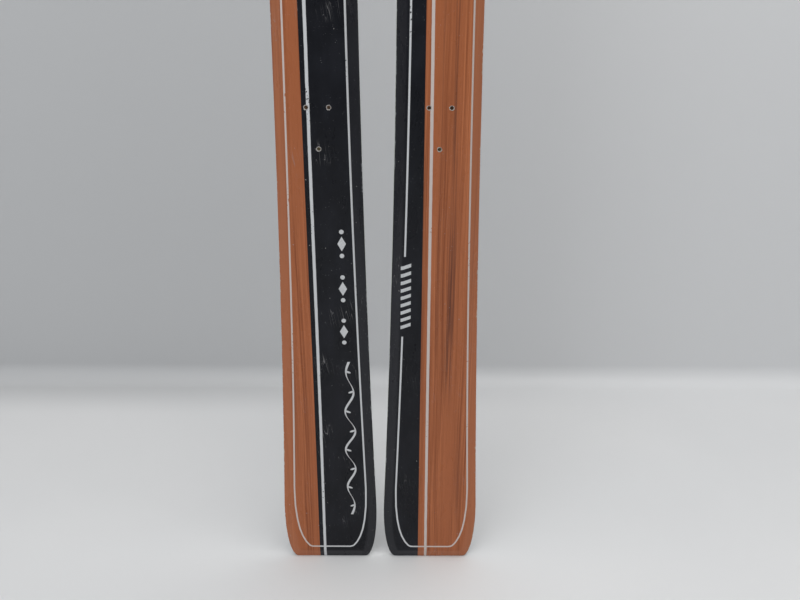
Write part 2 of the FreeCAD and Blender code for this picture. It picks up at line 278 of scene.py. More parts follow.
def column_places(half_width):
    """Places across one row: close together over the two shoulders."""
    scale = min(half_width / 0.040, 1.0)
    shoulder = np.array([0, 0.25, 0.8, 2, 4, 6, 8, 10, 11.2, 12.0, 12.6, 13.4, 15.0]) * 0.001 * scale
    left = -half_width + shoulder
    middle = np.linspace(left[-1], -left[-1], 22)[1:-1]
    return np.concatenate([left, middle, -left[::-1]])


def cap_height(shape, z, inset):
    """Height of the printed surface: flat top, sloping shoulder, and a soft ridge between them."""
    top = thickness(shape, z)
    slope = (top - shape.shoulder_foot) / shape.shoulder_width
    side = shape.shoulder_foot + inset * slope
    soft = 0.0012
    blend = max(soft - abs(top - side), 0) / soft
    rim = max(1 - inset / 0.0006, 0) ** 2 * 0.0003
    return min(top, side) - blend * blend * soft / 4 - rim


def nearest(points):
    """Finds how far a place in plan is from a set of points."""
    tree = KDTree(len(points))
    for i, (x, z) in enumerate(points):
        tree.insert((x, z, 0), i)
    tree.balance()
    return lambda x, z: tree.find((x, z, 0))[2]


def refined(path, step):
    """The same path with points no further apart than a step."""
    gaps = np.linalg.norm(np.diff(path, axis=0), axis=1)
    places = np.concatenate([[0], np.cumsum(gaps)])
    fine = np.linspace(0, places[-1], int(places[-1] / step))
    return np.column_stack([np.interp(fine, places, path[:, i]) for i in (0, 1)])


def cap_grid(shape, printed, shift):
    """Place, inset and distance from the border line of every vertex, in rows and columns."""
    outline = half_outline(shape)
    rows = row_heights(shape)
    widths = np.interp(rows, outline[:, 1], outline[:, 0])
    edge = np.vstack([(0.0, 0.0), outline])
    path = border_path(shape, printed)
    to_edge = nearest([*refined(edge, 0.0004), *(refined(edge, 0.0004) * (-1, 1))])
    to_line = nearest([*refined(path, 0.0002), *(refined(path, 0.0002) * (-1, 1))])
    half_path = (path[np.argsort(path[:, 1], kind="stable")]).T
    grid = []
    for z, half in zip(rows, widths):
        places = column_places(half)
        last = len(places) - 1
        line = []
        for i, x in enumerate(places):
            on_rim = i in (0, last) or z == 0
            inside = z > path[0, 1] and abs(x - shift) < np.interp(z, half_path[1], half_path[0])
            from_line = to_line(x - shift, z) * (1 if inside else -1)
            line.append((x, z, 0.0 if on_rim else to_edge(x, z), from_line))
        grid.append(line)
    return grid


def tip_swell(shape, z):
    """Extra cap thickness over the last of the tip, which keeps the laminate under the print."""
    run, most = 0.080, 0.0013
    return most * ease((z - shape.ski_length + run) / run)


def cap_object(shape, printed, ski):
    """A closed shell: printed surface, inner surface and the rim between them."""
    grid = cap_grid(shape, printed, getattr(printed, f"shift_{ski}"))
    rows, columns = len(grid), len(grid[0])
    centre = CENTRE[ski]
    outer, inner, place, rim = [], [], [], []
    floor = shape.stack_height + 0.00005
    for line in grid:
        for x, z, inset, from_line in line:
            height = cap_height(shape, z, inset)
            slope = (thickness(shape, z) - shape.shoulder_foot) / shape.shoulder_width
            drop = shape.cap_thickness * (1 if inset > shape.shoulder_width else math.hypot(1, slope))
            outer.append(layer_point(shape, centre + x, z, height + tip_swell(shape, z)))
            inner.append(layer_point(shape, centre + x, z, max(height - drop, floor)))
            place.append((x, z))
            rim.append((inset, from_line))
    count = len(outer)

    def quad(r, c):
        a = r * columns + c
        return a, a + 1, a + columns + 1, a + columns

    faces = [quad(r, c) for r in range(rows - 1) for c in range(columns - 1)]
    faces += [tuple(count + i for i in reversed(f)) for f in faces]
    loop = list(range(columns))
    loop += [r * columns + columns - 1 for r in range(1, rows)]
    loop += [(rows - 1) * columns + c for c in range(columns - 2, -1, -1)]
    loop += [r * columns for r in range(rows - 2, 0, -1)]
    for a, b in zip(loop, loop[1:] + loop[:1]):
        faces.append((b, a, a + count, b + count))
    mesh = bpy.data.meshes.new(f"{ski}_cap")
    mesh.from_pydata(outer + inner, [], faces)
    for name, values in (("place", place * 2), ("rim", rim * 2)):
        layer = mesh.uv_layers.new(name=name)
        loops = np.empty(len(mesh.loops), dtype=np.int32)
        mesh.loops.foreach_get("vertex_index", loops)
        layer.data.foreach_set("uv", np.array(values, dtype=np.float32)[loops].ravel())
    mesh.validate()
    return show(mesh)


def show(mesh):
    item = bpy.data.objects.new(mesh.name, mesh)
    bpy.context.scene.collection.objects.link(item)
    return item


def screw_places(ski):
    """Mouths of this ski's screw holes as (x, z), from the record's mounts."""
    places = []
    for mount in RECORD["mounts"]:
        if not mount["name"].startswith(ski):
            continue
        x, _, z = mount["pos_m"]
        dims = mount["dims"]
        if mount["kind"] == "bolt_pattern":
            wide = dims["spacing_x_mm"] / 2000
            tall = dims.get("spacing_y_mm", 0) / 2000
            signs = (-1, 1) if tall else (0,)
            places += [(x + sx * wide, z + sz * tall) for sx in (-1, 1) for sz in signs]
        elif mount["kind"] == "threaded_hole":
            places.append((x, z))
    return places


def drill(cap, ski):
    """Cuts the screw holes through the cap."""
    cutter_mesh = bmesh.new()
    for x, z in screw_places(ski):
        made = bmesh.ops.create_cone(cutter_mesh, cap_ends=True, segments=28, radius1=0.00205,
                                     radius2=0.00205, depth=0.08)
        bmesh.ops.rotate(cutter_mesh, verts=made["verts"], matrix=QUARTER_TURN)
        bmesh.ops.translate(cutter_mesh, verts=made["verts"], vec=(x, -0.02, z))
    mesh = bpy.data.meshes.new("screw_hole_cutter")
    cutter_mesh.to_mesh(mesh)
    cutter_mesh.free()
    cutter = show(mesh)
    cut = cap.modifiers.new("Screw holes", "BOOLEAN")
    cut.operation, cut.solver, cut.object = "DIFFERENCE", "EXACT", cutter
    settle(cap)
    bpy.data.objects.remove(cutter)


def settle(item):
    """Turns an object's modifiers into plain mesh."""
    graph = bpy.context.evaluated_depsgraph_get()
    mesh = bpy.data.meshes.new_from_object(item.evaluated_get(graph), depsgraph=graph)
    mesh.name = item.name
    item.modifiers.clear()
    item.data = mesh
    return item


def smooth(item, angle):
    item.data.polygons.foreach_set("use_smooth", [True] * len(item.data.polygons))
    item.data.set_sharp_from_angle(angle=math.radians(angle))


QUARTER_TURN = Matrix.Rotation(math.radians(90), 3, "X")


# ------------------------------------------------------------------ node helpers

def add(tree, kind, **settings):
    item = tree.nodes.new(kind)
    for key, value in settings.items():
        setattr(item, key, value)
    return item


def feed(tree, item, **values):
    """Sets or links inputs by name; a name's underscores stand for spaces."""
    for key, value in values.items():
        socket = item.inputs[key.replace("_", " ")]
        if isinstance(value, bpy.types.NodeSocket):
            tree.links.new(value, socket)
        else:
            socket.default_value = value
    return item


def reckon(tree, operation, *values, clamp=False):
    item = add(tree, "ShaderNodeMath", operation=operation, use_clamp=clamp)
    for socket, value in zip(item.inputs, values):
        if isinstance(value, bpy.types.NodeSocket):
            tree.links.new(value, socket)
        else:
            socket.default_value = value
    return item.outputs[0]


def blend_colours(tree, factor, first, second, mode="MIX"):
    item = add(tree, "ShaderNodeMix", data_type="RGBA", blend_type=mode)
    for socket, value in ((item.inputs[0], factor), (item.inputs[6], first), (item.inputs[7], second)):
        if isinstance(value, bpy.types.NodeSocket):
            tree.links.new(value, socket)
        else:
            socket.default_value = value if isinstance(value, float) else (*value, 1.0)
    return item.outputs[2]


def ramp(tree, value, low, high):
    item = add(tree, "ShaderNodeMapRange", interpolation_type="SMOOTHSTEP")
    feed(tree, item, Value=value, From_Min=low, From_Max=high)
    return item.outputs[0]


def noise(tree, vector, scale, detail=2.0, roughness=0.5):
    item = add(tree, "ShaderNodeTexNoise")
    feed(tree, item, Vector=vector, Scale=scale, Detail=detail, Roughness=roughness)
    return item.outputs["Fac"]


def stretched(tree, vector, scale, move=(0.0, 0.0, 0.0)):
    item = add(tree, "ShaderNodeMapping")
    feed(tree, item, Vector=vector, Scale=scale, Location=move)
    return item.outputs[0]


def new_group(name, inputs, outputs):
    """A shader group with named sockets: {name: (kind, default)}."""
    tree = bpy.data.node_groups.new(name, "ShaderNodeTree")
    for key, (kind, default) in inputs.items():
        socket = tree.interface.new_socket(key, in_out="INPUT", socket_type=f"NodeSocket{kind}")
        if default is not None:
            socket.default_value = default
    for key, kind in outputs.items():
        tree.interface.new_socket(key, in_out="OUTPUT", socket_type=f"NodeSocket{kind}")
    return tree, add(tree, "NodeGroupInput").outputs, add(tree, "NodeGroupOutput")


def use_group(tree, name, **values):
    item = add(tree, "ShaderNodeGroup", node_tree=bpy.data.node_groups[name])
    return feed(tree, item, **values).outputs


def new_material(name, colour_value, roughness, metallic=0.0):
    material = bpy.data.materials.new(name)
    material.use_nodes = True
    material.diffuse_color = (*colour_value, 1.0)
    tree = material.node_tree
    shader = tree.nodes["Principled BSDF"]
    feed(tree, shader, Base_Color=(*colour_value, 1.0), Roughness=roughness, Metallic=metallic)
    return material, tree, shader


def object_place(tree):
    return add(tree, "ShaderNodeTexCoord").outputs["Object"]


# ------------------------------------------------------------------ shared shader groups

def build_line_group():
    """Mask of a line of a given width around a centre."""
    tree, inputs, out = new_group(
        "Printed Line",
        {"Distance": ("Float", 0.0), "Centre": ("Float", 0.0), "Width": ("Float", 0.003),
         "Blur": ("Float", 0.0003), "Vector": ("Vector", None), "Wobble": ("Float", 0.0)},
        {"Mask": "Float"},
    )
    wave = reckon(tree, "SUBTRACT", noise(tree, inputs["Vector"], 90.0), 0.5)
    shift = reckon(tree, "MULTIPLY", wave, inputs["Wobble"])
    away = reckon(tree, "SUBTRACT", inputs["Distance"], inputs["Centre"])
    away = reckon(tree, "ABSOLUTE", reckon(tree, "ADD", away, shift))
    past = reckon(tree, "SUBTRACT", away, reckon(tree, "MULTIPLY", inputs["Width"], 0.5))
    share = reckon(tree, "DIVIDE", past, inputs["Blur"])
    tree.links.new(reckon(tree, "SUBTRACT", 0.5, share, clamp=True), out.inputs["Mask"])


def build_grain_group():
    """Fine lengthwise wood grain, with slow bands and short pores."""
    tree, inputs, out = new_group(
        "Wood Grain", {"Vector": ("Vector", None), "Bands": ("Float", 1.0)},
        {"Tone": "Float", "Pores": "Float", "Bands": "Float"},
    )
    place = inputs["Vector"]
    bent = noise(tree, stretched(tree, place, (14.0, 14.0, 2.2)), 1.0, 2.0)
    sway = add(tree, "ShaderNodeVectorMath", operation="MULTIPLY_ADD")
    feed(tree, sway, **{"Vector": place})
    sway.inputs[1].default_value = (1.0, 1.0, 1.0)
    spread = add(tree, "ShaderNodeCombineXYZ")
    feed(tree, spread, X=reckon(tree, "MULTIPLY", bent, 0.012))
    tree.links.new(spread.outputs[0], sway.inputs[2])
    fine = noise(tree, stretched(tree, sway.outputs[0], (1500.0, 40.0, 9.0)), 1.0, 3.0, 0.6)
    middle = noise(tree, stretched(tree, sway.outputs[0], (420.0, 20.0, 3.0)), 1.0, 3.0, 0.55)
    broad = noise(tree, stretched(tree, sway.outputs[0], (95.0, 10.0, 1.6)), 1.0, 2.0, 0.5)
    tone = reckon(tree, "ADD", reckon(tree, "MULTIPLY", fine, 0.45), reckon(tree, "MULTIPLY", middle, 0.55))
    pores = noise(tree, stretched(tree, sway.outputs[0], (2600.0, 50.0, 60.0)), 1.0, 1.0, 0.5)
    tree.links.new(tone, out.inputs["Tone"])
    tree.links.new(ramp(tree, pores, 0.60, 0.74), out.inputs["Pores"])
    tree.links.new(reckon(tree, "MULTIPLY", broad, inputs["Bands"]), out.inputs["Bands"])


def build_wear_group():
    """Chips that gather where the distance from a rim is small."""
    tree, inputs, out = new_group(
        "Edge Wear",
        {"Vector": ("Vector", None), "Distance": ("Float", 0.01), "Reach": ("Float", 0.002),
         "Scale": ("Float", 250.0), "Amount": ("Float", 0.5)},
        {"Mask": "Float"},
    )
    share = reckon(tree, "DIVIDE", inputs["Distance"], inputs["Reach"])
    near = reckon(tree, "SUBTRACT", 1.0, share, clamp=True)
    rough = noise(tree, inputs["Vector"], inputs["Scale"], 4.0, 0.65)
    patch = noise(tree, inputs["Vector"], 16.0, 2.0)
    level = reckon(tree, "MULTIPLY", near, inputs["Amount"])
    level = reckon(tree, "MULTIPLY", level, ramp(tree, patch, 0.38, 0.62))
    limit = reckon(tree, "SUBTRACT", 0.86, reckon(tree, "MULTIPLY", level, 0.5))
    over = reckon(tree, "MULTIPLY", reckon(tree, "SUBTRACT", rough, limit), 26.0, clamp=True)
    tree.links.new(over, out.inputs["Mask"])


def build_scratch_group():
    """Hair-thin scratches in one main direction, in scattered patches."""
    tree, inputs, out = new_group(
        "Scratches",
        {"Vector": ("Vector", None), "Across": ("Float", 260.0), "Along": ("Float", 14.0),
         "Amount": ("Float", 0.5)},
        {"Mask": "Float"},
    )
    tilt = add(tree, "ShaderNodeVectorRotate", rotation_type="Y_AXIS")
    feed(tree, tilt, Vector=inputs["Vector"], Angle=0.16)
    size = add(tree, "ShaderNodeCombineXYZ")
    feed(tree, size, X=inputs["Across"], Y=inputs["Across"], Z=inputs["Along"])
    place = add(tree, "ShaderNodeVectorMath", operation="MULTIPLY")
    tree.links.new(tilt.outputs[0], place.inputs[0])
    tree.links.new(size.outputs[0], place.inputs[1])
    lines = noise(tree, place.outputs[0], 1.0, 1.0, 0.4)
    thin = reckon(tree, "ABSOLUTE", reckon(tree, "SUBTRACT", lines, 0.5))
    thin = reckon(tree, "SUBTRACT", 1.0, ramp(tree, thin, 0.0, 0.012))
    patch = ramp(tree, noise(tree, inputs["Vector"], 22.0, 3.0), 0.56, 0.72)
    mask = reckon(tree, "MULTIPLY", reckon(tree, "MULTIPLY", thin, patch), inputs["Amount"])
    tree.links.new(mask, out.inputs["Mask"])


def build_dust_group():
    """Slow smears and small specks that change gloss and colour."""
    tree, inputs, out = new_group(
        "Dust", {"Vector": ("Vector", None), "Amount": ("Float", 0.5)}, {"Smear": "Float", "Specks": "Float"},
    )
    smear = noise(tree, stretched(tree, inputs["Vector"], (1.0, 1.0, 0.45)), 34.0, 5.0, 0.6)
    specks = noise(tree, inputs["Vector"], 900.0, 1.0, 0.5)
    tree.links.new(reckon(tree, "MULTIPLY", smear, inputs["Amount"]), out.inputs["Smear"])
    tree.links.new(reckon(tree, "MULTIPLY", ramp(tree, specks, 0.74, 0.82), inputs["Amount"]),
                   out.inputs["Specks"])


# ------------------------------------------------------------------ materials

def uv(tree, name):
    parts = add(tree, "ShaderNodeSeparateXYZ")
    tree.links.new(add(tree, "ShaderNodeUVMap", uv_map=name).outputs[0], parts.inputs[0])
    return parts.outputs


def wood_colour(tree, place, across, along, printed, ski):
    """Reddish lengthwise grain, with darker heart streaks where the ski has them."""
    grain = use_group(tree, "Wood Grain", Vector=place, Bands=1.0)
    base = tuple(printed.wood)
    dark = (base[0] * 0.62, base[1] * 0.55, base[2] * 0.52)
    light = (base[0] * 1.28, base[1] * 1.36, base[2] * 1.40)
    shade = blend_colours(tree, ramp(tree, grain["Tone"], 0.34, 0.66), dark, light)
    shade = blend_colours(tree, ramp(tree, grain["Bands"], 0.38, 0.64), shade, base)
    pores = reckon(tree, "MULTIPLY", grain["Pores"], 0.35)
    shade = blend_colours(tree, pores, shade, (base[0] * 0.42, base[1] * 0.36, base[2] * 0.38))
    heart = HEART_STREAKS[ski]
    for middle, spread, low, high, strength in heart:
        wave = reckon(tree, "MULTIPLY", reckon(tree, "SUBTRACT", noise(tree, place, 9.0), 0.5), 0.006)
        away = reckon(tree, "ABSOLUTE", reckon(tree, "SUBTRACT", reckon(tree, "ADD", across, wave), middle))
        side = reckon(tree, "SUBTRACT", 1.0, ramp(tree, away, 0.0, spread))
        ends = reckon(tree, "MULTIPLY", ramp(tree, along, low, low + 0.09),
                      reckon(tree, "SUBTRACT", 1.0, ramp(tree, along, high - 0.11, high)))
        streak = noise(tree, stretched(tree, place, (620.0, 30.0, 5.0)), 1.0, 3.0, 0.6)
        mask = reckon(tree, "MULTIPLY", reckon(tree, "MULTIPLY", side, ends), ramp(tree, streak, 0.36, 0.62))
        mask = reckon(tree, "MULTIPLY", mask, strength)
        shade = blend_colours(tree, mask, shade, (base[0] * 0.34, base[1] * 0.36, base[2] * 0.52))
    return shade, grain


HEART_STREAKS = {
    "left": [(-0.040, 0.007, 0.10, 0.34, 0.45), (-0.030, 0.005, 0.62, 1.05, 0.35)],
    "right": [(0.0185, 0.0085, 0.20, 0.52, 1.0), (0.0175, 0.0050, 0.44, 0.95, 0.7),
              (0.034, 0.006, 0.02, 0.26, 0.35), (0.004, 0.005, 0.26, 0.80, 0.30)],
}


def cap_material(printed, ski):
    """The printed cap: wood look and black, painted light on the sloping shoulders, border line, broad line,
    wear and a clear coat.
    """
    material, tree, shader = new_material(f"{ski}_cap_print", tuple(printed.wood), 0.34)
    place = object_place(tree)
    across, along = uv(tree, "place")[0], uv(tree, "place")[1]
    inset, from_line = uv(tree, "rim")[0], uv(tree, "rim")[1]
    split, band = getattr(printed, f"split_{ski}"), getattr(printed, f"band_{ski}")
    lean = getattr(printed, f"lean_{ski}")
    wood, grain = wood_colour(tree, place, across, along, printed, ski)
    cloud = use_group(tree, "Dust", Vector=place, Amount=1.0)
    black = tuple(printed.black)
    pale_black = tuple(v * 1.7 + 0.002 for v in black)
    ink = blend_colours(tree, ramp(tree, cloud["Smear"], 0.40, 0.75), black, pale_black)
    past_split = ramp(tree, across, split - 0.00025, split + 0.00025)
    on_wood = past_split if ski == "right" else reckon(tree, "SUBTRACT", 1.0, past_split)
    surface = blend_colours(tree, on_wood, ink, wood)
    # Painted light: the sloping shoulders are blended towards a paler black and a paler wood, standing in for
    # how the slope catches the light.
    shoulder = reckon(tree, "SUBTRACT", 1.0, ramp(tree, inset, 0.009, 0.0125))
    pale = blend_colours(tree, on_wood, (0.044, 0.044, 0.050), (0.46, 0.170, 0.082))
    surface = blend_colours(tree, reckon(tree, "MULTIPLY", shoulder, 0.45), surface, pale)
    border = use_group(tree, "Printed Line", Distance=from_line, Centre=0.0,
                       Width=printed.border_width, Blur=0.0004, Vector=place, Wobble=0.0)["Mask"]
    if ski == "right":
        border = without_gap(tree, border, across, along)
    middle = reckon(tree, "ADD", reckon(tree, "MULTIPLY", along, lean), band)
    broad = use_group(tree, "Printed Line", Distance=across, Centre=middle, Width=printed.band_width,
                      Blur=0.0004, Vector=place, Wobble=0.0005)["Mask"]
    lines = reckon(tree, "MAXIMUM", border, broad)
    chipped = chips_in_lines(tree, place, lines)
    line_shade = blend_colours(tree, on_wood, tuple(printed.line), (0.62, 0.54, 0.50))
    surface = blend_colours(tree, chipped, surface, line_shade)
    worn = use_group(tree, "Edge Wear", Vector=place, Distance=inset, Reach=0.0022, Scale=330.0,
                     Amount=1.0)["Mask"]
    bare = blend_colours(tree, on_wood, (0.22, 0.23, 0.24), (0.52, 0.40, 0.32))
    surface = blend_colours(tree, worn, surface, bare)
    scratch = use_group(tree, "Scratches", Vector=place, Across=300.0, Along=16.0, Amount=0.55)["Mask"]
    surface = blend_colours(tree, scratch, surface, (0.34, 0.33, 0.33))
    surface = blend_colours(tree, reckon(tree, "MULTIPLY", cloud["Specks"], 0.5), surface, (0.42, 0.42, 0.42))
    matt = reckon(tree, "MULTIPLY", cloud["Smear"], 0.18)
    matt = reckon(tree, "ADD", matt, reckon(tree, "MULTIPLY", reckon(tree, "ADD", worn, scratch), 0.35))
    gloss = reckon(tree, "ADD", matt, 0.20, clamp=True)
    pores = reckon(tree, "MULTIPLY", grain["Tone"], reckon(tree, "MULTIPLY", on_wood, 0.25))
    height = reckon(tree, "ADD", pores,
                    reckon(tree, "MULTIPLY", reckon(tree, "ADD", worn, scratch), -1.0))
    bump = add(tree, "ShaderNodeBump")
    feed(tree, bump, Height=height, Strength=0.25, Distance=0.0003)
    feed(tree, shader, Base_Color=surface, Roughness=gloss, Normal=bump.outputs[0], Coat_Weight=0.06)
    shader.inputs["Coat Roughness"].default_value = 0.10
    shader.inputs["Specular IOR Level"].default_value = 0.17
    return material


def without_gap(tree, border, across, along):
    """Breaks the thin line off where the bars stand on the right ski."""
    side = reckon(tree, "SUBTRACT", 1.0, ramp(tree, across, -0.021, -0.020))
    gap = reckon(tree, "MULTIPLY", ramp(tree, along, 0.3180, 0.3185),
                 reckon(tree, "SUBTRACT", 1.0, ramp(tree, along, 0.4170, 0.4175)))
    kept = reckon(tree, "SUBTRACT", 1.0, reckon(tree, "MULTIPLY", gap, side))
    return reckon(tree, "MULTIPLY", border, kept)


def chips_in_lines(tree, place, lines):
    """Takes small bites out of the printed lines."""
    rough = noise(tree, place, 420.0, 4.0, 0.6)
    patch = ramp(tree, noise(tree, place, 13.0, 2.0), 0.48, 0.66)
    limit = reckon(tree, "SUBTRACT", 0.80, reckon(tree, "MULTIPLY", patch, 0.20))
    bite = reckon(tree, "MULTIPLY", reckon(tree, "SUBTRACT", rough, limit), 30.0, clamp=True)
    return reckon(tree, "MULTIPLY", lines, reckon(tree, "SUBTRACT", 1.0, bite))


def base_material():
    material, tree, shader = new_material("running_base", (0.016, 0.016, 0.018), 0.42)
    place = object_place(tree)
    cloud = use_group(tree, "Dust", Vector=place, Amount=1.0)
    scratch = use_group(tree, "Scratches", Vector=place, Across=420.0, Along=7.0, Amount=0.9)["Mask"]
    smear = ramp(tree, cloud["Smear"], 0.35, 0.75)
    shade = blend_colours(tree, smear, (0.012, 0.012, 0.014), (0.030, 0.031, 0.033))
    shade = blend_colours(tree, scratch, shade, (0.12, 0.12, 0.125))
    shade = blend_colours(tree, reckon(tree, "MULTIPLY", cloud["Specks"], 0.4), shade, (0.3, 0.3, 0.3))
    lines = noise(tree, stretched(tree, place, (2400.0, 2400.0, 20.0)), 1.0, 1.0, 0.5)
    bump = add(tree, "ShaderNodeBump")
    feed(tree, bump, Height=reckon(tree, "SUBTRACT", lines, scratch), Strength=0.35, Distance=0.0002)
    feed(tree, shader, Base_Color=shade, Normal=bump.outputs[0],
         Roughness=reckon(tree, "ADD", reckon(tree, "MULTIPLY", cloud["Smear"], 0.25), 0.30, clamp=True))
    return material


def steel_material():
    material, tree, shader = new_material("edge_steel", (0.50, 0.50, 0.49), 0.32, 1.0)
    place = object_place(tree)
    strokes = noise(tree, stretched(tree, place, (900.0, 900.0, 60.0)), 1.0, 3.0, 0.6)
    rust = ramp(tree, noise(tree, place, 60.0, 5.0, 0.65), 0.60, 0.72)
    shade = blend_colours(tree, strokes, (0.38, 0.38, 0.38), (0.66, 0.66, 0.65))
    shade = blend_colours(tree, reckon(tree, "MULTIPLY", rust, 0.75), shade, (0.20, 0.085, 0.035))
    bump = add(tree, "ShaderNodeBump")
    feed(tree, bump, Height=strokes, Strength=0.3, Distance=0.0001)
    bright = reckon(tree, "SUBTRACT", 1.0, reckon(tree, "MULTIPLY", rust, 0.8))
    feed(tree, shader, Base_Color=shade, Metallic=bright,
         Roughness=reckon(tree, "ADD", reckon(tree, "MULTIPLY", rust, 0.35), 0.30), Normal=bump.outputs[0])
    return material


def layer_material(name, dark, light, roughness, scale):
    """A plain inner layer whose cut edge shows on the ski's side."""
    material, tree, shader = new_material(name, light, roughness)
    place = object_place(tree)
    body = noise(tree, stretched(tree, place, (scale, scale, scale * 0.06)), 1.0, 3.0, 0.55)
    worn = use_group(tree, "Dust", Vector=place, Amount=1.0)
    shade = blend_colours(tree, ramp(tree, body, 0.35, 0.65), dark, light)
    shade = blend_colours(tree, reckon(tree, "MULTIPLY", worn["Specks"], 0.4), shade, (0.3, 0.3, 0.3))
    bump = add(tree, "ShaderNodeBump")
    feed(tree, bump, Height=body, Strength=0.2, Distance=0.0002)
    feed(tree, shader, Base_Color=shade, Normal=bump.outputs[0])
    return material


def ink_material(name, shade, gloss):
    """White print that has lost small bites."""
    material, tree, shader = new_material(name, shade, gloss)
    place = object_place(tree)
    rough = noise(tree, place, 520.0, 4.0, 0.6)
    tone = blend_colours(tree, ramp(tree, rough, 0.30, 0.70), tuple(v * 0.86 for v in shade), shade)
    tone = blend_colours(tree, ramp(tree, rough, 0.70, 0.76), tone, (0.05, 0.05, 0.055))
    feed(tree, shader, Base_Color=tone,
         Roughness=reckon(tree, "ADD", reckon(tree, "MULTIPLY", rough, 0.2), gloss - 0.1, clamp=True))
    return material


NODE_FINISHES = {
    "base_sheet": "running_base",
    "steel_edge_outer": "edge_steel",
    "steel_edge_inner": "edge_steel",
    "edge_fleece": "fleece",
    "damping_foil": "rubber_foil",
    "lower_laminate": "glass_laminate",
    "upper_laminate": "glass_laminate",
    "binding_plate": "plate_sheet",
    "tail_spacer": "filler_plastic",
    "tip_spacer": "filler_plastic",
    "side_rail_outer": "filler_plastic",
    "side_rail_inner": "filler_plastic",
    "core_poplar_outer": "poplar",
    "core_poplar_centre": "poplar",
    "core_poplar_inner": "poplar",
    "core_beech_outer": "beech",
    "core_beech_inner": "beech",
}


class SKI_OT_materials(bpy.types.Operator):
    """Build the shared finishes and put them on the solid pieces"""

    bl_idname = "ski.materials"
    bl_label = "Finishes"

    def execute(self, context):
        for build in (build_line_group, build_grain_group, build_wear_group, build_scratch_group,
                      build_dust_group):
            build()
        base_material()
        steel_material()
        layer_material("fleece", (0.030, 0.030, 0.030), (0.060, 0.058, 0.055), 0.7, 900.0)
        layer_material("rubber_foil", (0.010, 0.010, 0.011), (0.022, 0.022, 0.023), 0.6, 700.0)
        layer_material("glass_laminate", (0.020, 0.022, 0.022), (0.042, 0.045, 0.044), 0.4, 1200.0)
        layer_material("plate_sheet", (0.42, 0.42, 0.43), (0.60, 0.60, 0.61), 0.35, 500.0)
        layer_material("filler_plastic", (0.012, 0.012, 0.013), (0.026, 0.026, 0.028), 0.45, 600.0)
        layer_material("poplar", (0.46, 0.33, 0.19), (0.60, 0.46, 0.29), 0.6, 500.0)
        layer_material("beech", (0.36, 0.20, 0.10), (0.48, 0.29, 0.16), 0.6, 500.0)
        for ski in SKIS:
            for piece, finish in NODE_FINISHES.items():
                mesh = frame["nodes"][f"{ski}_{piece}"].data
                mesh.materials.clear()
                mesh.materials.append(bpy.data.materials[finish])
        return {"FINISHED"}


class SKI_OT_caps(bpy.types.Operator):
    """Build the two printed caps with their screw holes"""

    bl_idname = "ski.caps"
    bl_label = "Caps"

    def execute(self, context):
        scene = context.scene
        for ski in SKIS:
            cap = cap_object(scene.ski_shape, scene.ski_print, ski)
            drill(cap, ski)
            smooth(cap, 35)
            cap.data.materials.clear()
            cap.data.materials.append(cap_material(scene.ski_print, ski))
            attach(cap, f"{ski}_ski")
            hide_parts(f"{ski}_topsheet")
        return {"FINISHED"}


# ------------------------------------------------------------------ pieces laid on the cap by geometry nodes

def new_tree(name, inputs):
    """A geometry tree with a mesh input, named sizes and a mesh output."""
    tree = bpy.data.node_groups.new(name, "GeometryNodeTree")
    tree.interface.new_socket("Geometry", in_out="INPUT", socket_type="NodeSocketGeometry")
    for key, (kind, default) in inputs.items():
        socket = tree.interface.new_socket(key, in_out="INPUT", socket_type=f"NodeSocket{kind}")
        if default is not None:
            socket.default_value = default
    tree.interface.new_socket("Geometry", in_out="OUTPUT", socket_type="NodeSocketGeometry")
    return tree, add(tree, "NodeGroupInput").outputs, add(tree, "NodeGroupOutput").inputs[0]


def wire(tree, source, target):
    tree.links.new(source, target)


def vector(tree, x=0.0, y=0.0, z=0.0):
    item = add(tree, "ShaderNodeCombineXYZ")
    return feed(tree, item, X=x, Y=y, Z=z).outputs[0]


def lay_on_cap(tree, geometry, cap, lift):
    """Drops flat geometry straight back onto the cap, a film's thickness proud of it."""
    info = add(tree, "GeometryNodeObjectInfo", transform_space="RELATIVE")
    wire(tree, cap, info.inputs["Object"])
    ray = add(tree, "GeometryNodeRaycast", data_type="FLOAT_VECTOR")
    wire(tree, info.outputs["Geometry"], ray.inputs["Target Geometry"])
    ray.inputs["Ray Direction"].default_value = (0.0, 1.0, 0.0)
    ray.inputs["Ray Length"].default_value = 1.0
    raised = add(tree, "ShaderNodeVectorMath", operation="MULTIPLY_ADD")
    wire(tree, ray.outputs["Hit Normal"], raised.inputs[0])
    wire(tree, lift, raised.inputs[1])
    wire(tree, ray.outputs["Hit Position"], raised.inputs[2])
    missed = add(tree, "FunctionNodeBooleanMath", operation="NOT")
    wire(tree, ray.outputs["Is Hit"], missed.inputs[0])
    trim = add(tree, "GeometryNodeDeleteGeometry", domain="POINT")
    wire(tree, geometry, trim.inputs["Geometry"])
    wire(tree, missed.outputs[0], trim.inputs["Selection"])
    move = add(tree, "GeometryNodeSetPosition")
    wire(tree, trim.outputs[0], move.inputs["Geometry"])
    wire(tree, raised.outputs[0], move.inputs["Position"])
    return move.outputs[0]


def film(tree, geometry, cap):
    """A closed print film: a skin just proud of the cap, with its back just under the surface."""
    front = lay_on_cap(tree, geometry, cap, vector(tree, 0.00006, 0.00006, 0.00006))
    grow = add(tree, "GeometryNodeExtrudeMesh", mode="FACES")
    grow.inputs["Offset Scale"].default_value = 0.00005
    grow.inputs["Individual"].default_value = False
    wire(tree, front, grow.inputs["Mesh"])
    return grow.outputs["Mesh"]


def finish_tree(tree, geometry, material, out):
    real = add(tree, "GeometryNodeRealizeInstances")
    wire(tree, geometry, real.inputs["Geometry"])
    paint = add(tree, "GeometryNodeSetMaterial")
    wire(tree, real.outputs[0], paint.inputs["Geometry"])
    wire(tree, material, paint.inputs["Material"])
    wire(tree, paint.outputs[0], out)


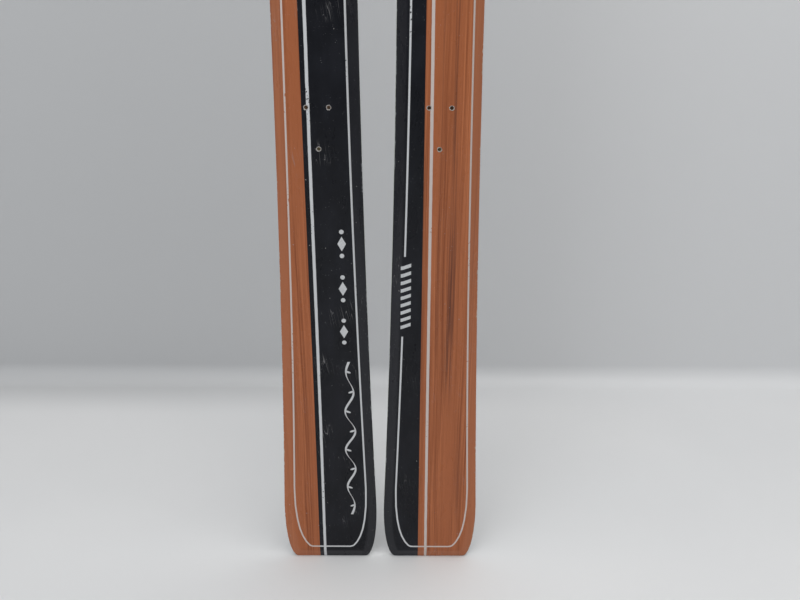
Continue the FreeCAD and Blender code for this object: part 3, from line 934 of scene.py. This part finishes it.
def instances(tree, points, shape, **values):
    item = add(tree, "GeometryNodeInstanceOnPoints")
    wire(tree, points, item.inputs["Points"])
    wire(tree, shape, item.inputs["Instance"])
    return feed(tree, item, **values).outputs[0]


def placed(tree, geometry, move=None, scale=None, turn=None):
    item = add(tree, "GeometryNodeTransform")
    wire(tree, geometry, item.inputs["Geometry"])
    for key, value in (("Translation", move), ("Scale", scale), ("Rotation", turn)):
        if value is not None:
            feed(tree, item, **{key: value})
    return item.outputs[0]


def disc(tree, sides, radius):
    """A flat disc that faces forward."""
    circle = add(tree, "GeometryNodeMeshCircle", fill_type="NGON")
    circle.inputs["Vertices"].default_value = sides
    feed(tree, circle, Radius=radius)
    return placed(tree, circle.outputs[0], turn=(math.radians(90), 0.0, 0.0))


COMMON = {"Cap": ("Object", None), "Material": ("Material", None)}


def mark_tree():
    """A row of marks, each a diamond between two dots."""
    tree, inputs, out = new_tree("Diamond Marks", {
        **COMMON, "Across": ("Float", 0.0), "Low": ("Float", 0.3),
        "Step": ("Float", 0.05), "Count": ("Int", 3),
        "Diamond Width": ("Float", 0.01), "Diamond Height": ("Float", 0.017), "Dot Radius": ("Float", 0.0026),
        "Dot Reach": ("Float", 0.014),
    })
    half_wide = reckon(tree, "MULTIPLY", inputs["Diamond Width"], 0.5)
    half_tall = reckon(tree, "MULTIPLY", inputs["Diamond Height"], 0.5)
    diamond = placed(tree, disc(tree, 4, 1.0), scale=vector(tree, half_wide, 1.0, half_tall))
    dot = disc(tree, 22, inputs["Dot Radius"])
    below = reckon(tree, "MULTIPLY", inputs["Dot Reach"], -1.0)
    join = add(tree, "GeometryNodeJoinGeometry")
    for part in (diamond, placed(tree, dot, move=vector(tree, 0.0, 0.0, inputs["Dot Reach"])),
                 placed(tree, dot, move=vector(tree, 0.0, 0.0, below))):
        wire(tree, part, join.inputs[0])
    line = add(tree, "GeometryNodeMeshLine")
    wire(tree, inputs["Count"], line.inputs["Count"])
    wire(tree, vector(tree, inputs["Across"], -0.2, inputs["Low"]), line.inputs["Start Location"])
    wire(tree, vector(tree, 0.0, 0.0, inputs["Step"]), line.inputs["Offset"])
    row = instances(tree, line.outputs[0], join.outputs[0])
    real = add(tree, "GeometryNodeRealizeInstances")
    wire(tree, row, real.inputs["Geometry"])
    finish_tree(tree, film(tree, real.outputs[0], inputs["Cap"]), inputs["Material"], out)
    return tree


def vine_tree():
    """A slender wavy line with a leaf at each turn."""
    tree, inputs, out = new_tree("Wavy Line", {
        **COMMON, "Across": ("Float", 0.0), "Low": ("Float", 0.06), "High": ("Float", 0.28),
        "Turns": ("Float", 4.0), "Swing": ("Float", 0.0062), "Width": ("Float", 0.0026),
    })
    strip = strip_grid(tree, 340)
    side, share = strip_place(tree)
    angle = reckon(tree, "MULTIPLY", reckon(tree, "MULTIPLY", share, inputs["Turns"]), math.tau)
    swing = wave_swing(tree, share, inputs)
    width = reckon(tree, "MULTIPLY", side, stroke_width(tree, angle, inputs["Width"]))
    x = reckon(tree, "ADD", reckon(tree, "ADD", inputs["Across"], swing), width)
    place = vector(tree, x, -0.2, between(tree, share, inputs["Low"], inputs["High"]))
    bend = add(tree, "GeometryNodeSetPosition")
    wire(tree, strip, bend.inputs["Geometry"])
    wire(tree, place, bend.inputs["Position"])
    join = add(tree, "GeometryNodeJoinGeometry")
    wire(tree, bend.outputs[0], join.inputs[0])
    wire(tree, leaves_on(tree, inputs), join.inputs[0])
    finish_tree(tree, film(tree, join.outputs[0], inputs["Cap"]), inputs["Material"], out)
    return tree


def strip_grid(tree, count, wide=2):
    """A flat unit strip to be warped: X runs across it and Y along it."""
    grid = add(tree, "GeometryNodeMeshGrid")
    feed(tree, grid, Size_X=1.0, Size_Y=1.0, Vertices_X=wide, Vertices_Y=count)
    return grid.outputs[0]


def strip_place(tree):
    """Where a vertex lies on the unit strip: across it from -0.5 to 0.5 and along it from 0 to 1."""
    parts = add(tree, "ShaderNodeSeparateXYZ")
    wire(tree, add(tree, "GeometryNodeInputPosition").outputs[0], parts.inputs[0])
    return parts.outputs[0], reckon(tree, "ADD", parts.outputs[1], 0.5)


def between(tree, share, low, high):
    return reckon(tree, "ADD", low, reckon(tree, "MULTIPLY", share, reckon(tree, "SUBTRACT", high, low)))


def wave_swing(tree, share, inputs):
    """Sideways swing of the wavy line, widest in its middle."""
    angle = reckon(tree, "MULTIPLY", reckon(tree, "MULTIPLY", share, inputs["Turns"]), math.tau)
    fade = reckon(tree, "SINE", reckon(tree, "MULTIPLY", share, math.pi))
    fade = reckon(tree, "ADD", reckon(tree, "MULTIPLY", fade, 0.5), 0.5)
    swing = reckon(tree, "MULTIPLY", reckon(tree, "SINE", angle), inputs["Swing"])
    return reckon(tree, "MULTIPLY", swing, fade)


def stroke_width(tree, angle, width):
    """Thick on one slope of the wave and thin on the other, as a broad pen writes."""
    pen = reckon(tree, "COSINE", angle)
    share = reckon(tree, "ADD", reckon(tree, "MULTIPLY", pen, 0.45), 0.75)
    return reckon(tree, "MULTIPLY", share, width)


def leaves_on(tree, inputs):
    """Slim leaves, one inside each turn of the wave."""
    line = add(tree, "GeometryNodeMeshLine")
    count = reckon(tree, "MULTIPLY", inputs["Turns"], 2.0)
    wire(tree, count, line.inputs["Count"])
    line.inputs["Offset"].default_value = (0.0, 0.0, 0.0)
    index = add(tree, "GeometryNodeInputIndex").outputs[0]
    share = reckon(tree, "DIVIDE", reckon(tree, "ADD", index, 0.5), count)
    swing = reckon(tree, "MULTIPLY", wave_swing(tree, share, inputs), 0.42)
    move = add(tree, "GeometryNodeSetPosition")
    wire(tree, line.outputs[0], move.inputs["Geometry"])
    x = reckon(tree, "ADD", inputs["Across"], swing)
    along = between(tree, share, inputs["Low"], inputs["High"])
    wire(tree, vector(tree, x, -0.2, along), move.inputs["Position"])
    leaf = placed(tree, disc(tree, 18, 1.0), scale=(0.0036, 1.0, 0.0013))
    side = reckon(tree, "SUBTRACT", reckon(tree, "MULTIPLY", reckon(tree, "MODULO", index, 2.0), 2.0), 1.0)
    lean = vector(tree, 0.0, reckon(tree, "MULTIPLY", side, 0.35), 0.0)
    real = add(tree, "GeometryNodeRealizeInstances")
    wire(tree, instances(tree, move.outputs[0], leaf, Rotation=lean), real.inputs["Geometry"])
    return real.outputs[0]


def bar_tree():
    """A row of slanted bars."""
    tree, inputs, out = new_tree("Slanted Bars", {
        **COMMON, "Across": ("Float", 0.0), "Low": ("Float", 0.3),
        "High": ("Float", 0.4), "Count": ("Int", 9),
        "Bar Width": ("Float", 0.0115), "Bar Height": ("Float", 0.0042), "Slant": ("Float", 0.38),
    })
    line = add(tree, "GeometryNodeMeshLine", mode="END_POINTS")
    wire(tree, inputs["Count"], line.inputs["Count"])
    wire(tree, vector(tree, inputs["Across"], -0.2, inputs["Low"]), line.inputs["Start Location"])
    wire(tree, vector(tree, inputs["Across"], -0.2, inputs["High"]), line.inputs["Offset"])
    flat = add(tree, "GeometryNodeMeshGrid")
    wire(tree, inputs["Bar Width"], flat.inputs["Size X"])
    wire(tree, inputs["Bar Height"], flat.inputs["Size Y"])
    flat.inputs["Vertices X"].default_value = 7
    flat.inputs["Vertices Y"].default_value = 3
    upright = placed(tree, flat.outputs[0], turn=(math.radians(90), 0.0, 0.0))
    slant = add(tree, "GeometryNodeSetPosition")
    wire(tree, upright, slant.inputs["Geometry"])
    parts = add(tree, "ShaderNodeSeparateXYZ")
    wire(tree, add(tree, "GeometryNodeInputPosition").outputs[0], parts.inputs[0])
    rise = reckon(tree, "MULTIPLY", parts.outputs[0], inputs["Slant"])
    wire(tree, vector(tree, 0.0, 0.0, rise), slant.inputs["Offset"])
    row = instances(tree, line.outputs[0], slant.outputs[0])
    real = add(tree, "GeometryNodeRealizeInstances")
    wire(tree, row, real.inputs["Geometry"])
    finish_tree(tree, film(tree, real.outputs[0], inputs["Cap"]), inputs["Material"], out)
    return tree


def rim_tree():
    """A chipped pale ring round each screw hole."""
    tree, inputs, out = new_tree("Hole Rims", {
        **COMMON, "Radius": ("Float", 0.00208), "Width": ("Float", 0.0011), "Seed": ("Float", 4.0),
    })
    strip = strip_grid(tree, 41)
    side, share = strip_place(tree)
    angle = reckon(tree, "MULTIPLY", share, math.tau)
    reach = reckon(tree, "ADD", side, 0.5)
    cosine, sine = reckon(tree, "COSINE", angle), reckon(tree, "SINE", angle)
    ragged = add(tree, "ShaderNodeTexNoise")
    feed(tree, ragged, Vector=vector(tree, cosine, sine, inputs["Seed"]), Scale=2.4, Detail=3.0)
    width = reckon(tree, "MULTIPLY", reckon(tree, "SUBTRACT", ragged.outputs[0], 0.25), 2.0)
    width = reckon(tree, "MULTIPLY", reckon(tree, "MAXIMUM", width, 0.15), inputs["Width"])
    radius = reckon(tree, "ADD", inputs["Radius"], reckon(tree, "MULTIPLY", reach, width))
    bend = add(tree, "GeometryNodeSetPosition")
    wire(tree, strip, bend.inputs["Geometry"])
    place = vector(tree, reckon(tree, "MULTIPLY", radius, cosine), 0.0,
                   reckon(tree, "MULTIPLY", radius, sine))
    wire(tree, place, bend.inputs["Position"])
    turn = add(tree, "FunctionNodeRandomValue", data_type="FLOAT")
    turn.inputs[3].default_value = math.tau
    row = instances(tree, inputs["Geometry"], bend.outputs[0],
                    Rotation=vector(tree, 0.0, turn.outputs[1], 0.0))
    real = add(tree, "GeometryNodeRealizeInstances")
    wire(tree, row, real.inputs["Geometry"])
    finish_tree(tree, film(tree, real.outputs[0], inputs["Cap"]), inputs["Material"], out)
    return tree


def fleck_tree():
    """Small chips scattered over the cap."""
    tree, inputs, out = new_tree("Chips", {
        **COMMON, "Density": ("Float", 900.0), "Size": ("Float", 0.0007), "Seed": ("Int", 11),
    })
    info = add(tree, "GeometryNodeObjectInfo", transform_space="RELATIVE")
    wire(tree, inputs["Cap"], info.inputs["Object"])
    normal = add(tree, "ShaderNodeSeparateXYZ")
    wire(tree, add(tree, "GeometryNodeInputNormal").outputs[0], normal.inputs[0])
    outside = add(tree, "FunctionNodeCompare", data_type="FLOAT", operation="LESS_THAN")
    wire(tree, normal.outputs[1], outside.inputs["A"])
    outside.inputs["B"].default_value = -0.3
    spread = add(tree, "GeometryNodeDistributePointsOnFaces")
    wire(tree, info.outputs["Geometry"], spread.inputs["Mesh"])
    wire(tree, outside.outputs[0], spread.inputs["Selection"])
    wire(tree, inputs["Density"], spread.inputs["Density"])
    wire(tree, inputs["Seed"], spread.inputs["Seed"])
    away = add(tree, "GeometryNodeSetPosition")
    wire(tree, spread.outputs["Points"], away.inputs["Geometry"])
    away.inputs["Offset"].default_value = (0.0, -0.1, 0.0)
    size = add(tree, "FunctionNodeRandomValue", data_type="FLOAT")
    size.inputs[2].default_value = 0.25
    size.inputs[3].default_value = 1.0
    wire(tree, inputs["Seed"], size.inputs["Seed"])
    grown = reckon(tree, "MULTIPLY", reckon(tree, "POWER", size.outputs[1], 3.0), inputs["Size"])
    turn = add(tree, "FunctionNodeRandomValue", data_type="FLOAT")
    turn.inputs[3].default_value = math.tau
    chip = placed(tree, disc(tree, 6, 1.0), scale=(0.6, 1.0, 1.1))
    made = instances(tree, away.outputs[0], chip, Rotation=vector(tree, 0.0, turn.outputs[1], 0.0),
                     Scale=vector(tree, grown, 1.0, grown))
    real = add(tree, "GeometryNodeRealizeInstances")
    wire(tree, made, real.inputs["Geometry"])
    finish_tree(tree, film(tree, real.outputs[0], inputs["Cap"]), inputs["Material"], out)
    return tree


def grow(name, ski, tree, material, points=(), **values):
    """Runs a geometry tree on a cap and keeps the result as a plain mesh that rides on the ski."""
    mesh = bpy.data.meshes.new(name)
    mesh.from_pydata([tuple(p) for p in points], [], [])
    item = show(mesh)
    modifier = item.modifiers.new(tree.name, "NODES")
    modifier.node_group = tree
    keys = {s.name: s.identifier for s in tree.interface.items_tree if s.in_out == "INPUT"}
    values.update({"Cap": bpy.data.objects[f"{ski}_cap"], "Material": bpy.data.materials[material]})
    for key, value in values.items():
        modifier[keys[key.replace("_", " ")]] = value
    settle(item)
    outwards(item.data)
    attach(item, f"{ski}_ski")
    return item


def outwards(mesh):
    """Merges doubles and points every face outwards."""
    work = bmesh.new()
    work.from_mesh(mesh)
    bmesh.ops.remove_doubles(work, verts=work.verts, dist=0.0000005)
    bmesh.ops.recalc_face_normals(work, faces=work.faces)
    work.to_mesh(mesh)
    work.free()


class SKI_OT_marks(bpy.types.Operator):
    """Lay the diamond marks, the wavy line and the slanted bars on the black panels"""

    bl_idname = "ski.marks"
    bl_label = "Marks"

    def execute(self, context):
        marks = context.scene.ski_marks
        ink_material("mark_ink", tuple(context.scene.ski_print.line), 0.38)
        left, right = CENTRE["left"], CENTRE["right"]
        grow("left_diamond_marks", "left", mark_tree(), "mark_ink", Across=left + marks.mark_across,
             Low=marks.mark_low, Step=marks.mark_step, Count=marks.mark_count,
             Diamond_Width=marks.diamond_width, Diamond_Height=marks.diamond_height,
             Dot_Radius=marks.dot_radius, Dot_Reach=marks.dot_reach)
        grow("left_wavy_line", "left", vine_tree(), "mark_ink", Across=left + marks.vine_across,
             Low=marks.vine_low, High=marks.vine_high)
        grow("right_slanted_bars", "right", bar_tree(), "mark_ink", Across=right + marks.bars_across,
             Low=marks.bars_low, High=marks.bars_high)
        return {"FINISHED"}


class SKI_OT_wear(bpy.types.Operator):
    """Lay the chipped rims round the screw holes and scatter small chips"""

    bl_idname = "ski.wear"
    bl_label = "Wear"

    def execute(self, context):
        ink_material("chip_rim", (0.50, 0.47, 0.44), 0.6)
        ink_material("chip_fleck", (0.36, 0.35, 0.34), 0.6)
        rims, flecks = rim_tree(), fleck_tree()
        for ski, seed in (("left", 11), ("right", 23)):
            places = [(x, -0.2, z) for x, z in screw_places(ski)]
            grow(f"{ski}_hole_rims", ski, rims, "chip_rim", points=places, Seed=float(seed))
            grow(f"{ski}_chips", ski, flecks, "chip_fleck", Seed=seed)
        return {"FINISHED"}


# ------------------------------------------------------------------ studio

class SKI_OT_stage(bpy.types.Operator):
    """Build the floor, backdrop, lights and camera"""

    bl_idname = "ski.stage"
    bl_label = "Studio"

    def execute(self, context):
        sweep()
        far_floor()
        lights()
        camera(context.scene)
        context.scene.view_settings.view_transform = "Standard"
        return {"FINISHED"}


def sweep():
    """A pale floor that curves up into the backdrop, with painted shade on the backdrop and in the corner;
    from behind, the backdrop is clear.
    """
    wall, bend, wide, tall, front = 0.500, 0.035, 8.0, 4.0, -8.0
    profile = [(front, 0.0), (wall - bend, 0.0)]
    for i in range(1, 17):
        angle = math.radians(90 * i / 16)
        profile.append((wall - bend + bend * math.sin(angle), bend - bend * math.cos(angle)))
    profile.append((wall, tall))
    verts = [(x, y, z) for y, z in profile for x in (-wide, wide)]
    faces = [(2 * i, 2 * i + 1, 2 * i + 3, 2 * i + 2) for i in range(len(profile) - 1)]
    mesh = bpy.data.meshes.new("studio_sweep")
    mesh.from_pydata(verts, [], faces)
    mesh.polygons.foreach_set("use_smooth", [True] * len(faces))
    material, tree, shader = new_material("studio_paper", (0.62, 0.63, 0.64), 0.55)
    place = object_place(tree)
    parts = add(tree, "ShaderNodeSeparateXYZ")
    wire(tree, place, parts.inputs[0])
    cloud = ramp(tree, noise(tree, stretched(tree, place, (1.0, 1.0, 0.6)), 1.3, 3.0), 0.25, 0.75)
    # Painted shade: from y 0.36 to 0.49 the floor turns to the wall's darker tone, a painted shadow in the
    # corner where floor meets backdrop.
    rise = ramp(tree, parts.outputs[1], 0.36, 0.49)
    # Painted shade: the wall is painted darker towards its left and lighter towards its right, standing in
    # for the fall of the light across it.
    sideways = ramp(tree, parts.outputs[0], -0.5, 0.6)
    wall_painted_shade = blend_colours(tree, sideways, (0.525, 0.53, 0.535), (0.71, 0.715, 0.72))
    floor_shade = blend_colours(tree, cloud, (0.69, 0.695, 0.70), (0.745, 0.745, 0.745))
    feed(tree, shader, Base_Color=blend_colours(tree, rise, floor_shade, wall_painted_shade))
    clear = add(tree, "ShaderNodeBsdfTransparent")
    mix = add(tree, "ShaderNodeMixShader")
    wire(tree, add(tree, "ShaderNodeNewGeometry").outputs["Backfacing"], mix.inputs[0])
    wire(tree, shader.outputs[0], mix.inputs[1])
    wire(tree, clear.outputs[0], mix.inputs[2])
    wire(tree, mix.outputs[0], tree.nodes["Material Output"].inputs["Surface"])
    mesh.materials.append(material)
    return show(mesh)


def far_floor():
    """The floor behind the backdrop, seen only from behind."""
    near, far, wide, level = 0.465, 8.0, 8.0, -0.0002
    mesh = bpy.data.meshes.new("studio_far_floor")
    corners = [(-wide, near, level), (wide, near, level), (wide, far, level), (-wide, far, level)]
    mesh.from_pydata(corners, [], [(0, 1, 2, 3)])
    mesh.materials.append(new_material("studio_far_paper", (0.70, 0.705, 0.71), 0.55)[0])
    return show(mesh)


def area_light(name, place, target, size, power, tint=(1.0, 1.0, 1.0)):
    data = bpy.data.lights.new(name, "AREA")
    data.shape, data.size, data.size_y = "RECTANGLE", size[0], size[1]
    data.energy, data.color = power, tint
    item = bpy.data.objects.new(name, data)
    item.location = place
    item.rotation_euler = (Vector(target) - Vector(place)).to_track_quat("-Z", "Y").to_euler()
    bpy.context.scene.collection.objects.link(item)
    return item


def lights():
    area_light("overhead", (0.3, -0.5, 2.6), (0.0, 0.1, 0.0), (2.4, 1.8), 46.0, (1.0, 0.99, 0.97))
    area_light("front_fill", (-1.4, -2.0, 1.3), (0.0, 0.0, 0.4), (1.6, 1.6), 14.0, (0.94, 0.97, 1.0))
    world = bpy.data.worlds.new("studio_air")
    world.use_nodes = True
    background = world.node_tree.nodes["Background"]
    background.inputs["Color"].default_value = (0.80, 0.83, 0.88, 1.0)
    background.inputs["Strength"].default_value = 0.35
    bpy.context.scene.world = world


def camera(scene):
    data = bpy.data.cameras.new("studio_camera")
    data.lens, data.sensor_width, data.clip_start = 36.0, 36.0, 0.05
    item = bpy.data.objects.new("studio_camera", data)
    item.location = (0.0228, -0.864, 0.694)
    item.rotation_euler = (math.radians(90 - 21.2), math.radians(-0.25), 0.0)
    scene.collection.objects.link(item)
    scene.camera = item


# ------------------------------------------------------------------ panel and start

STEPS = ("materials", "caps", "marks", "wear", "stage")


class SKI_PT_panel(bpy.types.Panel):
    """Sizes, colours and build steps of the skis"""

    bl_label = "Alpine Ski Pair"
    bl_idname = "SKI_PT_panel"
    bl_space_type = "VIEW_3D"
    bl_region_type = "UI"
    bl_category = "Skis"

    def draw(self, context):
        for title, group in (("Shape", "ski_shape"), ("Print", "ski_print"), ("Marks", "ski_marks")):
            box = self.layout.box()
            box.label(text=title)
            values = getattr(context.scene, group)
            for key in values.__annotations__:
                box.prop(values, key)
        for step in STEPS:
            self.layout.operator(f"ski.{step}")


GROUPS = {"ski_shape": SkiShape, "ski_print": SkiPrint, "ski_marks": SkiMarks}
CLASSES = (*GROUPS.values(), SKI_OT_materials, SKI_OT_caps, SKI_OT_marks, SKI_OT_wear, SKI_OT_stage,
           SKI_PT_panel)


def register():
    for cls in CLASSES:
        bpy.utils.register_class(cls)
    for name, group in GROUPS.items():
        setattr(bpy.types.Scene, name, PointerProperty(type=group))


def unregister():
    for name in GROUPS:
        delattr(bpy.types.Scene, name)
    for cls in reversed(CLASSES):
        bpy.utils.unregister_class(cls)


def main():
    register()
    for step in STEPS:
        getattr(bpy.ops.ski, step)()


if __name__ == "__main__":
    main()
